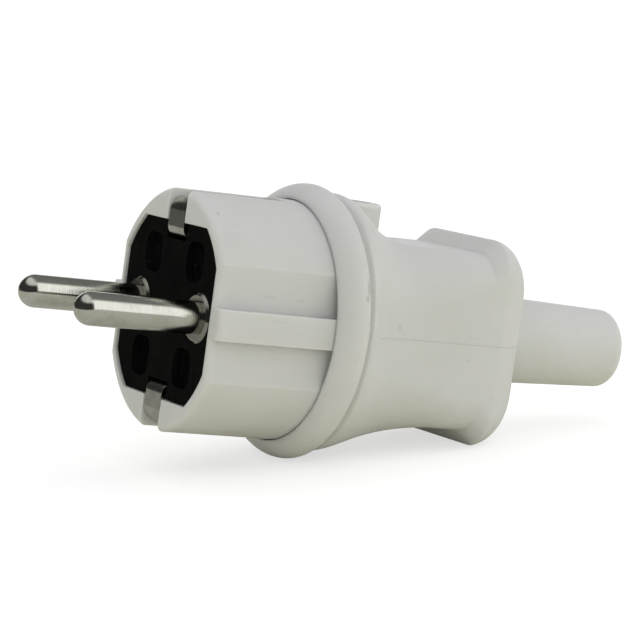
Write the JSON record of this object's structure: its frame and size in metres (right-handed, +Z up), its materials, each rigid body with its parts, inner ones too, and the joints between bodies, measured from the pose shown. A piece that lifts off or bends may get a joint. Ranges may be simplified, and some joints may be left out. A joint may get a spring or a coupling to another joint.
{
  "type": "mains plug",
  "caption": "straight rewirable mains plug with round pins, side earth clips, a collared grip and a cable sleeve, lying nose-up on its collar",
  "frame": {"origin": "centre of the bounding box in X and Y, on the floor the plug lies on", "axes": "X runs from the pin tips to the cable sleeve along the floor, Y from the right pin to the left one, Z up; the plug's own axis dips towards +X"},
  "size_m": [0.0948, 0.0406, 0.0406],
  "materials": {
    "white_housing": "moulded, slightly worn satin",
    "white_sleeve": "soft moulded sleeve, same colour as the housing",
    "black_insert": "matte black moulding",
    "nickel": "nickel-plated, fine turning marks",
    "brass_inside": "plain machined brass",
    "steel_inside": "zinc-plated"
  },
  "bodies": {
    "root": {"front_shell": "white_housing", "rear_cover": "white_housing", "cable_sleeve": "white_sleeve", "contact_carrier": "black_insert", "line_pin": "nickel", "neutral_pin": "nickel", "earth_clip_top": "nickel", "earth_clip_bottom": "nickel", "line_terminal": "brass_inside", "neutral_terminal": "brass_inside", "earth_bridge": "brass_inside", "line_terminal_screw": "steel_inside", "neutral_terminal_screw": "steel_inside", "earth_terminal_screw": "steel_inside", "earth_terminal_washer": "steel_inside", "cord_clamp_bar": "steel_inside", "cord_clamp_screw_left": "steel_inside", "cord_clamp_screw_right": "steel_inside", "cover_screw": "steel_inside", "cover_nut": "steel_inside"}
  },
  "joints": []
}
